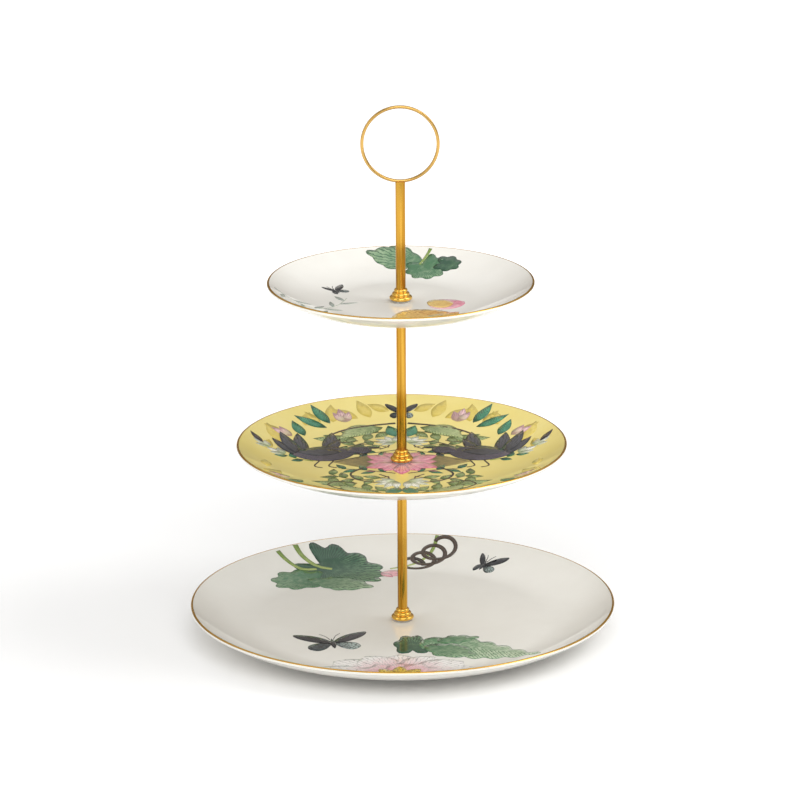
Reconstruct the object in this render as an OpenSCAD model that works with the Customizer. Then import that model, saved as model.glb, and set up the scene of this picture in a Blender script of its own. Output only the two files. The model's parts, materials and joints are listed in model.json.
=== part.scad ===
// Three-tier cake stand: bone china coupe plates on a screw-together gilt column with a ring handle.
// Units are millimetres, +Z is up, and the origin is the centre of the large plate's foot on the table.

/* [Tiers] */
// Diameter of the large bottom plate
large_d = 270; // [220:1:340]
// Diameter of the medium middle plate
medium_d = 209; // [170:1:260]
// Diameter of the small top plate
small_d = 168; // [135:1:210]
// Height from one plate's rim to the next plate's rim
tier_pitch = 105.8; // [80:0.1:150]

/* [Plates] */
// Diameter of the large plate's flat well
large_well_d = 184; // [130:1:200]
// Diameter of the medium plate's flat well
medium_well_d = 104; // [90:1:140]
// Diameter of the small plate's flat well
small_well_d = 76; // [66:1:105]
// Distance from the edge of the large plate's well in to its foot
large_foot_inset = 9; // [2:0.5:30]
// Distance from the edge of the medium plate's well in to its foot
medium_foot_inset = 3; // [2:0.5:15]
// Distance from the edge of the small plate's well in to its foot
small_foot_inset = 2; // [1:0.5:12]
// Depth of each plate, from its rim down to its well
plate_depth = 13; // [10:0.5:22]
// Thickness of the china in the well
plate_wall = 3.2; // [2.4:0.1:5]
// Thickness of the china at the rim
lip = 2.4; // [1.8:0.1:2.8]
// How far the rolled lip stands proud of the wall on each side
lip_roll = 0.1; // [0.05:0.05:0.3]
// Height of the foot below the well
foot_h = 4; // [3.8:0.1:6]
// Width of the foot where it stands
foot_w = 2.4; // [1.6:0.1:4]

/* [Column] */
// Diameter of the rods
rod_d = 6.2; // [5.8:0.1:9]
// Thread diameter of the studs and the base screw
thread_d = 4; // [3:0.1:4.8]
// Rise of the thread in one turn
thread_pitch = 0.7; // [0.5:0.05:1]
// Turns that hold each rod on its thread
thread_turns = 12; // [6:1:16]
// Depth of a rod's tapped hole past the tip of the thread in it
tap_clearance = 1.5; // [0.5:0.1:4]
// Length of a stud that is set in the top of its rod
stud_set = 9; // [5:0.5:20]
// Height of the handle's rod above the base of its collar
handle_h = 76.4; // [50:0.1:120]

/* [Collars and washers] */
// Thickness of a collar's top bead around its socket
collar_wall = 1.14; // [0.6:0.02:1.5]
// How far the middle bead stands out past the top bead
mid_bead_step = 1.3; // [0.8:0.1:2]
// How far the base bead stands out past the middle bead
base_bead_step = 1.6; // [1:0.1:3]
// Height of a collar's base bead
collar_base_h = 2.6; // [2.4:0.1:4]
// Height of a collar's middle bead
collar_mid_h = 2.4; // [1.4:0.1:3]
// Height of a collar's top bead
collar_top_h = 2.3; // [1.2:0.1:3]
// How far each upper bead sinks into the bead below it
bead_sink = 0.4; // [0.2:0.1:0.8]
// Thickness of the collar's floor, under the rod's end
collar_floor = 2.2; // [1.6:0.1:2.4]
// Diameter of the clear washers
washer_d = 12; // [9:0.1:12.4]
// Thickness of the clear washer between a plate and the collar above it
washer_t = 1; // [0.5:0.1:3]
// Thickness of the clear washer under each plate
under_washer_t = 0.8; // [0.5:0.1:1]
// Diameter of the seats that carry the upper plates
seat_d = 13; // [11:0.1:16]
// Thickness of a seat
seat_t = 1.2; // [0.8:0.1:2]
// Diameter of the metal washer on the base screw
screw_washer_d = 14; // [10:0.1:18]
// Thickness of the metal washer on the base screw
screw_washer_t = 0.8; // [0.5:0.1:1]
// Diameter of the base screw's head
screw_head_d = 11; // [8:0.1:14]
// Height of the base screw's head
screw_head_h = 1.6; // [1.4:0.1:1.8]
// Width of the slot in the base screw's head
slot_w = 1.2; // [0.8:0.1:1.6]
// Depth of the slot in the base screw's head
slot_depth = 0.8; // [0.5:0.1:1]

/* [Ring handle] */
// Outer diameter of the ring
ring_d = 49.5; // [36:0.5:70]
// Thickness of the ring's wire
wire_d = 2.1; // [1.6:0.1:3]
// Depth that the ring's wire sinks into the end of its rod
ring_sink = 0.8; // [0.4:0.1:0.8]

/* [Fits] */
// Radial clearance of a rod in its collar's socket
socket_gap = 0.06; // [0.03:0.01:0.1]
// Radial clearance of a thread in its tapped hole
thread_gap = 0.05; // [0.03:0.01:0.1]
// Radial clearance of a stud in a collar's floor
floor_gap = 0.1; // [0.05:0.01:0.1]
// Radial clearance of a stud in a washer or a seat
washer_gap = 0.2; // [0.1:0.05:0.3]
// Radial clearance of a stud in a plate's hole
plate_gap = 0.5; // [0.3:0.05:1]

/* [Hidden] */

$fn = 96;
china = [0.96, 0.95, 0.92];
yellow_china = [0.87, 0.79, 0.45];
gilt = [0.85, 0.62, 0.22];
clear = [0.9, 0.93, 0.95, 0.6];

// The hold of a thread in its rod, and a thread's length from a collar's base to its tip.
thread_hold = thread_pitch * thread_turns;
thread_above_base = collar_floor + thread_hold;
tapped_d = thread_d + 2 * thread_gap;
collar_h = collar_base_h + collar_mid_h + collar_top_h;
socket_d = rod_d + 2 * socket_gap;
top_bead_d = socket_d + 2 * collar_wall;
mid_bead_d = top_bead_d + 2 * mid_bead_step;
base_bead_d = mid_bead_d + 2 * base_bead_step;
washer_hole_d = thread_d + 2 * washer_gap;
plate_hole_d = thread_d + 2 * plate_gap;

// Heights, with tier 0 the large plate, tier 1 the medium plate and tier 2 the small plate.
function well_z(tier) = foot_h + plate_wall + tier * tier_pitch;
function under_z(tier) = well_z(tier) - plate_wall;
function under_washer_z(tier) = under_z(tier) - under_washer_t;
function seat_z(tier) = under_washer_z(tier) - seat_t;
function collar_z(tier) = well_z(tier) + washer_t;
function rod_z(tier) = collar_z(tier) + collar_floor;
handle_top_z = collar_z(2) + handle_h;
ring_z = handle_top_z - ring_sink + ring_d / 2;
screw_head_z = under_washer_z(0) - screw_washer_t - screw_head_h;

// How far a small cut runs past the face that it opens.
past = 1;

// A sweep's radius is a whole number of microns, so that its curve meets the well exactly.
function to_micron(length) = round(1000 * length) / 1000;

// The space above a plate's face: the level well, then the curve that sweeps up to the rim.
module dish_space(well_r, well_y, sweep_r) {
    translate([0, well_y])
        square([well_r, 2 * plate_depth]);
    translate([well_r, well_y + sweep_r])
        circle(r = sweep_r, $fn = 512);
}

// One coupe plate in its own section: x is the radius, and y is the height above the well.
// The face and the underside both leave the well level, and both run into the rolled lip.
module plate_section(plate_d, well_d, foot_inset) {
    hole_r = plate_hole_d / 2;
    well_r = well_d / 2;
    lip_r = lip / 2;
    lip_x = plate_d / 2 - lip_r;
    lip_y = plate_depth - lip_r;
    half_edge = lip_r - lip_roll;
    reach = lip_x - well_r;
    face_r = to_micron((reach ^ 2 + lip_y ^ 2 - half_edge ^ 2) / (2 * (lip_y + half_edge)));
    under_y = lip_y + plate_wall;
    under_r = to_micron((reach ^ 2 + under_y ^ 2 - half_edge ^ 2) / (2 * (under_y - half_edge)));
    face_turn = atan2(reach, face_r - lip_y);
    under_turn = atan2(reach, under_r - under_y);
    beyond = 2 * plate_wall;

    intersection() {
        difference() {
            dish_space(well_r, -plate_wall, under_r);
            dish_space(well_r, 0, face_r);
        }
        polygon([
            [hole_r, -beyond],
            [well_r, -beyond],
            [lip_x + beyond * sin(under_turn), lip_y - beyond * cos(under_turn)],
            [lip_x, lip_y],
            [lip_x - beyond * sin(face_turn), lip_y + beyond * cos(face_turn)],
            [hole_r, plate_depth + beyond]
        ]);
    }
    translate([lip_x, lip_y])
        circle(r = lip_r);
    translate([well_r - foot_inset, -plate_wall])
        foot_section();
}

// The foot tapers towards the table, and its edges are eased. Its outer face meets the well at x = 0.
module foot_section() {
    taper = foot_w / 4;
    ease = foot_w / 6;
    root_y = plate_wall / 2;
    polygon([
        [-foot_w - taper, root_y],
        [-foot_w, ease - foot_h],
        [ease - foot_w, -foot_h],
        [-ease, -foot_h],
        [0, ease - foot_h],
        [taper, root_y]
    ]);
}

module plate(tier, plate_d, well_d, foot_inset) {
    translate([0, 0, well_z(tier)])
        rotate_extrude($fn = 180)
            plate_section(plate_d, well_d, foot_inset);
}

module large_plate() {
    color(china)
        plate(0, large_d, large_well_d, large_foot_inset);
}

module medium_plate() {
    color(yellow_china)
        plate(1, medium_d, medium_well_d, medium_foot_inset);
}

module small_plate() {
    color(china)
        plate(2, small_d, small_well_d, small_foot_inset);
}

// A flat ring standing on z = 0.
module flat_ring(outer_d, hole_d, h) {
    difference() {
        cylinder(d = outer_d, h = h);
        translate([0, 0, -past])
            cylinder(d = hole_d, h = h + 2 * past);
    }
}

// Clear washers keep the metal off the glaze, above and below each plate.
module plate_washer(tier) {
    color(clear)
        translate([0, 0, well_z(tier)])
            flat_ring(washer_d, washer_hole_d, washer_t);
}

module under_washer(tier) {
    color(clear)
        translate([0, 0, under_washer_z(tier)])
            flat_ring(washer_d, washer_hole_d, under_washer_t);
}

// The half section of one turned bead with a fully rounded edge.
module bead_section(d, bottom, top) {
    h = top - bottom;
    translate([0, bottom])
        square([(d - h) / 2, h]);
    translate([(d - h) / 2, bottom + h / 2])
        circle(d = h);
}

// A stepped collar: three beads, a socket for the rod's end, and a hole for the thread.
// The upper two beads each start inside the bead below.
module collar(tier) {
    mid_y = collar_base_h;
    top_y = mid_y + collar_mid_h;
    color(gilt)
        translate([0, 0, collar_z(tier)])
            rotate_extrude()
                difference() {
                    union() {
                        bead_section(base_bead_d, 0, mid_y);
                        bead_section(mid_bead_d, mid_y - bead_sink, top_y);
                        bead_section(top_bead_d, top_y - bead_sink, collar_h);
                    }
                    translate([0, -past])
                        square([thread_d / 2 + floor_gap, collar_h + 2 * past]);
                    translate([0, collar_floor])
                        square([socket_d / 2, collar_h]);
                }
}

// A solid rod from its collar up to top, tapped in its foot. The thread is a plain bore.
module tapped_rod(tier, top) {
    difference() {
        translate([0, 0, rod_z(tier)])
            cylinder(d = rod_d, h = top - rod_z(tier));
        translate([0, 0, rod_z(tier) - past])
            cylinder(d = tapped_d, h = past + thread_hold + tap_clearance);
    }
}

// A rod that carries the next tier, with a hole in its top for the stud.
module column_rod(tier) {
    top = seat_z(tier + 1);
    color(gilt)
        difference() {
            tapped_rod(tier, top);
            translate([0, 0, top - stud_set])
                cylinder(d = thread_d, h = stud_set + past);
        }
}

// A plain pin for a threaded stud, with its upper end chamfered.
module thread_pin(z, top) {
    tip = thread_d / 10;
    translate([0, 0, z])
        cylinder(d = thread_d, h = top - tip - z);
    translate([0, 0, top - tip])
        cylinder(d1 = thread_d, d2 = thread_d - 2 * tip, h = tip);
}

// A stud set in the rod under a plate, up through the plate and its collar.
module stud(tier) {
    color(gilt)
        thread_pin(seat_z(tier) - stud_set, collar_z(tier) + thread_above_base);
}

// The seat spreads a plate's weight over the end of the rod below it.
module seat(tier) {
    color(gilt)
        translate([0, 0, seat_z(tier)])
            flat_ring(seat_d, washer_hole_d, seat_t);
}

module screw_washer() {
    color(gilt)
        translate([0, 0, screw_head_z + screw_head_h])
            flat_ring(screw_washer_d, washer_hole_d, screw_washer_t);
}

// The low slotted head under the large plate, and the thread up into the lower rod.
module base_screw() {
    color(gilt) {
        difference() {
            translate([0, 0, screw_head_z])
                cylinder(d1 = screw_head_d - screw_head_h, d2 = screw_head_d, h = screw_head_h);
            translate([-screw_head_d, -slot_w / 2, screw_head_z - past])
                cube([2 * screw_head_d, slot_w, slot_depth + past]);
        }
        thread_pin(screw_head_z + screw_head_h, collar_z(0) + thread_above_base);
    }
}

// The ring's wire, drawn round, upright in the XZ plane.
module ring_wire() {
    translate([0, 0, ring_z])
        rotate([90, 0, 0])
            rotate_extrude($fn = 180)
                translate([(ring_d - wire_d) / 2, 0])
                    circle(d = wire_d, $fn = 48);
}

module handle_ring() {
    color(gilt)
        ring_wire();
}

// The handle's rod ends in a saddle for the ring.
module handle_rod() {
    color(gilt)
        difference() {
            tapped_rod(2, handle_top_z);
            ring_wire();
        }
}

large_plate();
medium_plate();
small_plate();
base_screw();
screw_washer();
under_washer(0);  // base_washer
plate_washer(0);  // large_plate_washer
collar(0);  // lower_collar
column_rod(0);  // lower_rod
stud(1);  // lower_stud
seat(1);  // medium_seat
under_washer(1);  // medium_under_washer
plate_washer(1);  // medium_plate_washer
collar(1);  // middle_collar
column_rod(1);  // middle_rod
stud(2);  // upper_stud
seat(2);  // small_seat
under_washer(2);  // small_under_washer
plate_washer(2);  // small_plate_washer
collar(2);  // handle_collar
handle_rod();
handle_ring();
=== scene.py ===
# %% [markdown]
# # A three-tier cake stand
# Three bone china plates stand one above another on a gilt column that screws together, with a ring on
# top to carry it by. Everything here is built in millimetres and turned into metres at the last moment,
# because a maker thinks of a plate rim or a screw thread in millimetres.

# %% The fixed frame
import json
import math

import bmesh
import bpy
from mathutils import Matrix, Vector
from mathutils.geometry import delaunay_2d_cdt


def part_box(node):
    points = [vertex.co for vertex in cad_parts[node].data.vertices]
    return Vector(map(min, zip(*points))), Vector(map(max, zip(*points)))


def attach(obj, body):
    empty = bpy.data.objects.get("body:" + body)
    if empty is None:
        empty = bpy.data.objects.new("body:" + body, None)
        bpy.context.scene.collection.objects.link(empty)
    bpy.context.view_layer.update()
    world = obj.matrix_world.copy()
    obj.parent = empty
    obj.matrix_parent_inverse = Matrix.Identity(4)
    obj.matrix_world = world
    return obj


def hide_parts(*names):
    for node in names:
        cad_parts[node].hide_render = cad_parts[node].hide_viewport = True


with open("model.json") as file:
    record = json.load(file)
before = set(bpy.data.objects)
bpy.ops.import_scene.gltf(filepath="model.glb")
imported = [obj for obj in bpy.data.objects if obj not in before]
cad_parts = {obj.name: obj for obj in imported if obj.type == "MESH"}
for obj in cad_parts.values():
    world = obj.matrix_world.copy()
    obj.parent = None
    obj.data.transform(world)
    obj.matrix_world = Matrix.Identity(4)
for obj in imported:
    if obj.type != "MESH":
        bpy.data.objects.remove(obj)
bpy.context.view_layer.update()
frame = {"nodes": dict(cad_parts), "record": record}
MM = 0.001

# %% [markdown]
# Each visible piece stands for one node of the mechanical model and moves with that node's body.
# A small table of node to body saves naming the body again for every piece, and the sizes of the
# pieces are measured from the nodes, so the looks always fit the mechanics.

# %% Sizes measured from the frame
body_of = {node: body for body, nodes in frame["record"]["behaviour"]["bodies"].items() for node in nodes}
slot_of = {part["node"]: part["material_slot"] for part in frame["record"]["subparts"]}


def heights(node):
    """The lowest and highest point of a node, in millimetres."""
    low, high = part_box(node)
    return low.z / MM, high.z / MM


def radii(node, height=None, slack=0.01):
    """The smallest and largest radius of a node's points, or only of those at one height."""
    points = [v.co for v in frame["nodes"][node].data.vertices]
    if height is not None:
        points = [p for p in points if abs(p.z / MM - height) < slack]
    around = [math.hypot(p.x, p.y) / MM for p in points]
    return min(around), max(around)


print("large plate radius", round(radii("large_plate")[1], 2), "mm")

# %% [markdown]
# ## Camera
# A long lens far away keeps the ellipses of the three rims nearly alike. The camera looks down on the
# plates by about seventeen degrees. It could be aimed by a Track To constraint, but one matrix that
# moves it back, up and tilts it is exact, and leaves nothing else in the scene.

# %% Camera
CAMERA_DISTANCE = 3251.6
CAMERA_HEIGHT = 1155.3
CAMERA_PITCH = 17.119
CAMERA_ROLL = -0.33
CAMERA_ASIDE = -0.9
FOCAL_LENGTH = 243
SENSOR = 36
FARTHEST_SEEN = 50

camera_data = bpy.data.cameras.new("camera")
camera_data.lens = FOCAL_LENGTH
camera_data.sensor_width = SENSOR
camera_data.clip_end = FARTHEST_SEEN
camera = bpy.data.objects.new("camera", camera_data)
bpy.context.scene.collection.objects.link(camera)
camera.matrix_world = (
    Matrix.Translation((CAMERA_ASIDE * MM, -CAMERA_DISTANCE * MM, CAMERA_HEIGHT * MM))
    @ Matrix.Rotation(math.radians(90 - CAMERA_PITCH), 4, "X")
    @ Matrix.Rotation(math.radians(CAMERA_ROLL), 4, "Z")
)
bpy.context.scene.camera = camera
print("camera", round(camera.location.length, 3), "m from the foot")

# %% [markdown]
# Every finish below is a node tree around one Principled shader. Two helpers carry all of them: one
# turns a colour written the way a colour picker shows it into the linear light the renderer wants,
# and one adds a node with its settings and links in a single call.

# %% Helpers for colours and nodes


def linear(hex_colour):
    """A colour such as "#E8B860" as linear red, green, blue and alpha."""
    shares = [int(hex_colour[i : i + 2], 16) / 255 for i in (1, 3, 5)]
    return tuple(s / 12.92 if s <= 0.04045 else ((s + 0.055) / 1.055) ** 2.4 for s in shares) + (1.0,)


def add_node(tree, kind, inputs=None, **settings):
    """Adds a node. Inputs are values, or another node's output to link from."""
    node = tree.nodes.new(kind)
    for name, value in settings.items():
        setattr(node, name, value)
    for socket, value in (inputs or {}).items():
        if isinstance(value, bpy.types.NodeSocket):
            tree.links.new(value, node.inputs[socket])
        else:
            node.inputs[socket].default_value = value
    return node


def new_finish(name):
    """An empty finish: its material, and its node tree."""
    finish = bpy.data.materials.new(name)
    finish.use_nodes = True
    finish.node_tree.nodes.clear()
    return finish, finish.node_tree


def close_finish(tree, inputs):
    """Ends a finish: its look, and the output that hands the look to the renderer."""
    look = add_node(tree, "ShaderNodeBsdfPrincipled", inputs)
    add_node(tree, "ShaderNodeOutputMaterial", {"Surface": look.outputs["BSDF"]})


print("a middle grey, #808080, is", round(linear("#808080")[0], 3), "in linear light")

# %% [markdown]
# ## Table
# The stand is shown on a sheet of matt white paper that has no visible end. Paper scatters light evenly,
# so it gives the eye a soft shadow and no reflection. A curved backdrop would do the same, but a wide
# plane is simpler, and a faint glow that grows with distance takes the far paper up to pure white. The
# paper's slow unevenness spreads over metres.

# %% White paper table
TABLE_SIZE = 24.0
PAPER_CLOUD = 8.0
GLOW_STARTS = 0.16
GLOW_FULL = 0.75
GLOW_NEAR = 0.04
GLOW_FAR = 0.45
table_finish, tree = new_finish("white_paper_table")
grain = add_node(tree, "ShaderNodeTexNoise", {"Scale": TABLE_SIZE / PAPER_CLOUD, "Detail": 2.0})
shade = add_node(tree, "ShaderNodeMapRange", {"Value": grain.outputs["Fac"], "To Min": 0.93, "To Max": 0.95})
channels = ("Red", "Green", "Blue")
tone = add_node(tree, "ShaderNodeCombineColor", {channel: shade.outputs["Result"] for channel in channels})
spot = add_node(tree, "ShaderNodeTexCoord")
away = add_node(tree, "ShaderNodeVectorMath", {0: spot.outputs["Object"]}, operation="LENGTH")
glow = add_node(
    tree,
    "ShaderNodeMapRange",
    {
        "Value": away.outputs["Value"],
        "From Min": GLOW_STARTS,
        "From Max": GLOW_FULL,
        "To Min": GLOW_NEAR,
        "To Max": GLOW_FAR,
    },
    interpolation_type="SMOOTHSTEP",
)
close_finish(
    tree,
    {
        "Base Color": tone.outputs["Color"],
        "Roughness": 0.9,
        "Specular IOR Level": 0.1,
        "Emission Color": linear("#FFFFFF"),
        "Emission Strength": glow.outputs["Result"],
    },
)

half = TABLE_SIZE / 2
corners = [(-half, -half, 0), (half, -half, 0), (half, half, 0), (-half, half, 0)]
table_mesh = bpy.data.meshes.new("table")
table_mesh.from_pydata(corners, [], [(0, 1, 2, 3)])
table_mesh.materials.append(table_finish)
table = bpy.data.objects.new("table", table_mesh)
bpy.context.scene.collection.objects.link(table)
print("table", TABLE_SIZE, "m across")

# %% [markdown]
# ## Room
# Polished metal shows the room more than itself, so the room matters. Its walls change from pale to
# dark as one looks round: a dark strip beside the camera, where a person stands, a bright wall on the
# right and a duller one on the left. Real walls could be modelled, but a colour ramp wound round the
# horizon is one node. Angles are in degrees from the camera's side, to the right.

# %% Room
WALL_SHADES = [
    (-179, "#8A8076"),
    (-150, "#7A6A58"),
    (-120, "#B5ADA3"),
    (-70, "#E8E6E2"),
    (-20, "#C8C4BD"),
    (5, "#D8D5D0"),
    (14, "#50463A"),
    (32, "#4A4036"),
    (46, "#F6F4F0"),
    (115, "#FFFFFF"),
    (140, "#B0A89C"),
    (160, "#6E6154"),
    (179, "#8A8076"),
]
CEILING_SHADE = "#DEDEDE"
WALL_TOP = 0.25
CEILING_EDGE = 0.6
ROOM_LIGHT = 0.88

world = bpy.data.worlds.new("studio")
bpy.context.scene.world = world
world.use_nodes = True
world.node_tree.nodes.clear()
tree = world.node_tree
way = add_node(tree, "ShaderNodeTexCoord")
split = add_node(tree, "ShaderNodeSeparateXYZ", {"Vector": way.outputs["Generated"]})
toward = add_node(tree, "ShaderNodeMath", {0: split.outputs["Y"], 1: -1.0}, operation="MULTIPLY")
turn = add_node(tree, "ShaderNodeMath", {0: split.outputs["X"], 1: toward.outputs[0]}, operation="ARCTAN2")
around = add_node(
    tree, "ShaderNodeMapRange", {"Value": turn.outputs[0], "From Min": -math.pi, "From Max": math.pi}
)
walls = add_node(tree, "ShaderNodeValToRGB", {"Fac": around.outputs["Result"]})
for degrees, wall_shade in WALL_SHADES:
    stop = walls.color_ramp.elements.new((degrees + 180) / 360)
    stop.color = linear(wall_shade)
walls.color_ramp.elements.remove(walls.color_ramp.elements[-1])
walls.color_ramp.elements.remove(walls.color_ramp.elements[0])
up = add_node(
    tree, "ShaderNodeMapRange", {"Value": split.outputs["Z"], "From Min": WALL_TOP, "From Max": CEILING_EDGE}
)
room = add_node(
    tree,
    "ShaderNodeMix",
    {"Factor": up.outputs["Result"], "A": walls.outputs["Color"], "B": linear(CEILING_SHADE)},
    data_type="RGBA",
)
air = add_node(tree, "ShaderNodeBackground", {"Color": room.outputs["Result"], "Strength": ROOM_LIGHT})
add_node(tree, "ShaderNodeOutputWorld", {"Surface": air.outputs["Background"]})
print("wall shades round the room:", len(walls.color_ramp.elements))

# %% [markdown]
# ## Lights
# Four soft boxes light the stand: a wide one overhead, the key on the right, a broad one in front and a
# weak one on the left. Wide area lights give the long soft edges that glazed china shows, where small
# lamps would leave hard spots. Each is given as its place in metres, its width, its height and its watts.

# %% Soft lights
COLUMN_MIDDLE = (0, 0, 0.17)


def soft_light(name, place, width, height, watts):
    """A rectangular soft box at a place, turned to face the middle of the column."""
    data = bpy.data.lights.new(name, "AREA")
    data.shape = "RECTANGLE"
    data.size = width
    data.size_y = height
    data.energy = watts
    light = bpy.data.objects.new(name, data)
    light.location = place
    light.rotation_euler = (Vector(COLUMN_MIDDLE) - Vector(place)).to_track_quat("-Z", "Y").to_euler()
    bpy.context.scene.collection.objects.link(light)


soft_light("overhead", (0.2, 0.1, 2.2), 2.4, 2.0, 6)
soft_light("key", (1.8, -0.2, 1.8), 1.0, 1.4, 16)
soft_light("front", (0.3, -2.0, 1.7), 1.8, 1.2, 21)
soft_light("fill", (-1.7, -1.0, 1.0), 0.9, 1.4, 6)
bpy.context.scene.view_settings.view_transform = "Standard"

# %% [markdown]
# ## Turned shapes
# Nearly every piece of the stand is round, so each starts as a closed section: half of the outline that
# a saw would show if it cut the piece down its middle. No real edge is perfectly sharp, and a tiny
# rounding is what catches the light. A Bevel modifier would round edges too, but rounding the section's
# own corners gives each edge its own radius.

# %% Section helpers
EASE_STEPS = 4


def arc(centre, radius, start, end, steps):
    """Points on a circle in the section plane, from one angle to another in degrees."""
    turns = [math.radians(start + (end - start) * k / steps) for k in range(steps + 1)]
    return [(centre[0] + radius * math.cos(t), centre[1] + radius * math.sin(t)) for t in turns]


def eased(corners):
    """Rounds the corners of a section. Each corner is (radius, height, easing)."""
    points = []
    for i, (x, y, ease) in enumerate(corners):
        here = Vector((x, y))
        if ease == 0:
            points.append((x, y))
            continue
        before = (Vector(corners[i - 1][:2]) - here).normalized()
        after = (Vector(corners[(i + 1) % len(corners)][:2]) - here).normalized()
        half_angle = before.angle(after) / 2
        centre = here + (before + after).normalized() * ease / math.sin(half_angle)
        cut = ease / math.tan(half_angle)
        first = here + before * cut - centre
        last = here + after * cut - centre
        start = math.degrees(math.atan2(first.y, first.x))
        sweep = (math.degrees(math.atan2(last.y, last.x)) - start + 180) % 360 - 180
        points += arc(centre, ease, start, start + sweep, EASE_STEPS)
    return points


print("a quarter circle of radius 10 ends at", [round(v, 3) for v in arc((0, 0), 10, 0, 90, 6)[-1]])

# %% [markdown]
# The plates are pressed on a wheel and the metal is turned on a lathe, so one helper spins a section
# round the column. A Screw modifier on a curve could do it, but writing the rings directly gives even
# quads, exact control of where one finish ends and the next begins, and a mesh that is always closed.
# Two more helpers make the result a piece of the scene, and let it stand for its node.

# %% Lathe
ON_AXIS = 1e-6


def link_piece(name, bm, finishes):
    """Turns a finished bmesh into a piece of the scene, with its faces turned outwards."""
    bmesh.ops.recalc_face_normals(bm, faces=bm.faces)
    mesh = bpy.data.meshes.new(name)
    bm.to_mesh(mesh)
    bm.free()
    mesh.shade_smooth()
    for finish in finishes:
        mesh.materials.append(finish)
    piece = bpy.data.objects.new(name, mesh)
    bpy.context.scene.collection.objects.link(piece)
    return piece


def stands_for(piece, node):
    """The piece takes a node's place and body."""
    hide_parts(node)
    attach(piece, body_of[node])
    return piece


def lathe_into(bm, section, turns, wears=None):
    """Spins a closed section of (radius, height) points. A point on the axis is made once."""
    rings = []
    for radius, height in section:
        count = 1 if radius < ON_AXIS else turns
        angles = [2 * math.pi * k / turns for k in range(count)]
        plan = [(radius * math.cos(angle), radius * math.sin(angle)) for angle in angles]
        rings.append([bm.verts.new((x * MM, y * MM, height * MM)) for x, y in plan])
    for i, low in enumerate(rings):
        high = rings[(i + 1) % len(rings)]
        if len(low) == 1 and len(high) == 1:
            continue
        for k in range(turns):
            after = (k + 1) % turns
            below = [low[k % len(low)], low[after % len(low)]]
            above = [high[after % len(high)], high[k % len(high)]]
            face = bm.faces.new(list(dict.fromkeys(below + above)))
            if wears is not None:
                face.material_index = wears[i]


def turned_piece(node, section, finishes, turns=96, wears=None):
    """A turned piece that takes a node's place."""
    bm = bmesh.new()
    lathe_into(bm, section, turns, wears)
    return stands_for(link_piece("turned_" + node, bm, finishes), node)


print("nodes that the pieces will stand for:", len(slot_of))

# %% [markdown]
# ## Glazed bone china
# Bone china is pressed, fired white and dipped in a clear glaze that melts to glass. What the eye
# sees is a warm white body with faint cloudiness under a hard, sharp gloss, and the gloss is never
# quite flat: it rolls very slightly over some tens of millimetres. So the colour sits under a clear
# coat with a long gentle ripple. The body itself is nearly dull: its specular level is kept low,
# because there is only one glassy surface to shine.

# %% The glaze
GLAZE_IOR = 1.5
GLAZE_ROUGHNESS = 0.03
BODY_SHINE = 0.12
RIPPLE_WIDTH = 22
RIPPLE_DEPTH = 0.02
RIPPLE_STRENGTH = 0.15


def per_metre(millimetres):
    """A texture scale that repeats once in so many millimetres."""
    return 1 / (millimetres * MM)


def glaze(tree, colour, body_roughness=0.35):
    """Ends a finish as colour under a clear rippled glaze."""
    place = add_node(tree, "ShaderNodeTexCoord")
    ripple = add_node(
        tree,
        "ShaderNodeTexNoise",
        {"Vector": place.outputs["Object"], "Scale": per_metre(RIPPLE_WIDTH), "Detail": 1.0},
    )
    bump = add_node(
        tree,
        "ShaderNodeBump",
        {"Height": ripple.outputs["Fac"], "Strength": RIPPLE_STRENGTH, "Distance": RIPPLE_DEPTH * MM},
    )
    close_finish(
        tree,
        {
            "Base Color": colour,
            "Roughness": body_roughness,
            "IOR": GLAZE_IOR,
            "Specular IOR Level": BODY_SHINE,
            "Coat Weight": 1.0,
            "Coat Roughness": GLAZE_ROUGHNESS,
            "Coat IOR": GLAZE_IOR,
            "Normal": bump.outputs["Normal"],
            "Coat Normal": bump.outputs["Normal"],
        },
    )


print("the glaze ripples over", RIPPLE_WIDTH, "mm")

# %% [markdown]
# No fired or plated colour is one flat value. A slow noise between two near tones is enough to keep a
# wide plain face from looking like plastic. Each finish gives the size of its clouds in millimetres.
# White china is the bare body under glaze, and the yellow ground is a ceramic colour sprayed on it
# before the last glaze.

# %% White and yellow china


def clouded(tree, deep, pale, size=18):
    """A colour that drifts between two near tones, over a size in millimetres."""
    place = add_node(tree, "ShaderNodeTexCoord")
    cloud = add_node(
        tree,
        "ShaderNodeTexNoise",
        {"Vector": place.outputs["Object"], "Scale": per_metre(size), "Detail": 3.0},
    )
    mix = add_node(
        tree,
        "ShaderNodeMix",
        {"Factor": cloud.outputs["Fac"], "A": linear(deep), "B": linear(pale)},
        data_type="RGBA",
    )
    return mix.outputs["Result"]


white_china, tree = new_finish("glazed_bone_china")
glaze(tree, clouded(tree, "#EAE7DF", "#F1EFE8"))
yellow_china, tree = new_finish("yellow_ground_under_glaze")
glaze(tree, clouded(tree, "#EED979", "#F4E593"))
print("china finishes:", white_china.name, "and", yellow_china.name)

# %% [markdown]
# The rim of the foot is wiped clean of glaze, or the plate would stick to the kiln shelf. Bare bone
# china is dull, a little darker than the glaze, and feels like fine sandpaper. Its grit is about a
# tenth of a millimetre, too fine to show, so it is drawn at twice that.

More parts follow.
